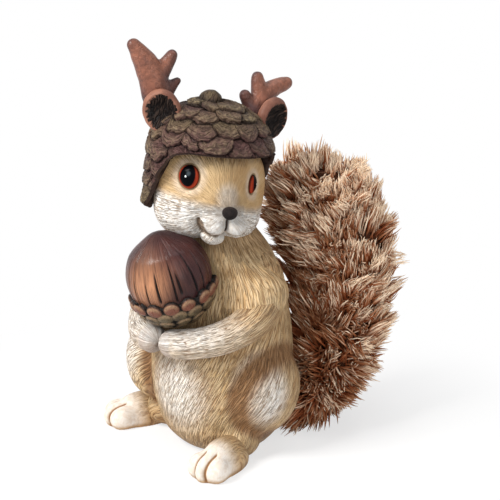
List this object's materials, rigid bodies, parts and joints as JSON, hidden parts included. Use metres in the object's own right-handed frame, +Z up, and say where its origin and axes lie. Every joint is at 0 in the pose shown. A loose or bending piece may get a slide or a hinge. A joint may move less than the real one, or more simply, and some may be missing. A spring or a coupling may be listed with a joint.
{
  "type": "squirrel figurine",
  "caption": "Sitting squirrel figurine in an acorn-cap hat with antlers, hugging a large acorn, with a bendable plush tail; stands on its flat base as an ornament.",
  "frame": {"origin": "centre of the torso's flat base, where it meets the shelf", "axes": "+Z up, -Y the way the squirrel sits facing, +X the squirrel's own left side, and the tail on +Y"},
  "size_m": [0.0983, 0.1336, 0.1832],
  "materials": {
    "body_resin": "cast polyresin, painted tan with a brown wash and a white dry brush",
    "foot_resin": "cast polyresin, painted off-white with brown in the toe grooves",
    "plug_resin": "cast polyresin, unpainted",
    "eye_bead": "painted red-brown with a black pupil, clear gloss",
    "nose_paint": "painted near black, satin",
    "hat_resin": "cast polyresin, grey-brown with dark crevices",
    "ear_resin": "cast polyresin, pinkish brown rim, dark inside",
    "antler_resin": "cast polyresin, smooth pinkish brown with pale rubbed edges",
    "nut_resin": "cast polyresin, dark purple-brown with a copper sheen, glossy",
    "cup_resin": "cast polyresin, bronze brown knobs",
    "pin_steel": "plain steel pin",
    "wire_steel": "annealed steel wire",
    "tail_pile": "long faux fur, rust brown roots and cream tips",
    "sleeve_cloth": "knitted backing of the pile",
    "stuffing": "polyester fibre"
  },
  "bodies": {
    "figure": {"torso": "body_resin", "head": "body_resin", "left_arm": "body_resin", "right_arm": "body_resin", "left_foot": "foot_resin", "right_foot": "foot_resin", "base_plug": "plug_resin", "left_eye": "eye_bead", "right_eye": "eye_bead", "nose": "nose_paint", "hat": "hat_resin", "left_ear": "ear_resin", "right_ear": "ear_resin", "left_antler": "antler_resin", "right_antler": "antler_resin", "acorn_nut": "nut_resin", "acorn_cup": "cup_resin", "neck_dowel": "pin_steel", "antler_pins": "pin_steel", "arm_pins": "pin_steel", "foot_pins": "pin_steel", "acorn_pin": "pin_steel", "tail_plug": "plug_resin"},
    "tail": {"tail_fur": "tail_pile", "tail_sleeve": "sleeve_cloth", "tail_stuffing": "stuffing", "tail_wire": "wire_steel"}
  },
  "joints": [
    {"name": "tail_bend", "type": "hinge", "parent": "figure", "child": "tail", "pos_m": [0.0135, 0.025, 0.012], "axis": [-1, 0, 0], "range_deg": [0, 12]}
  ]
}
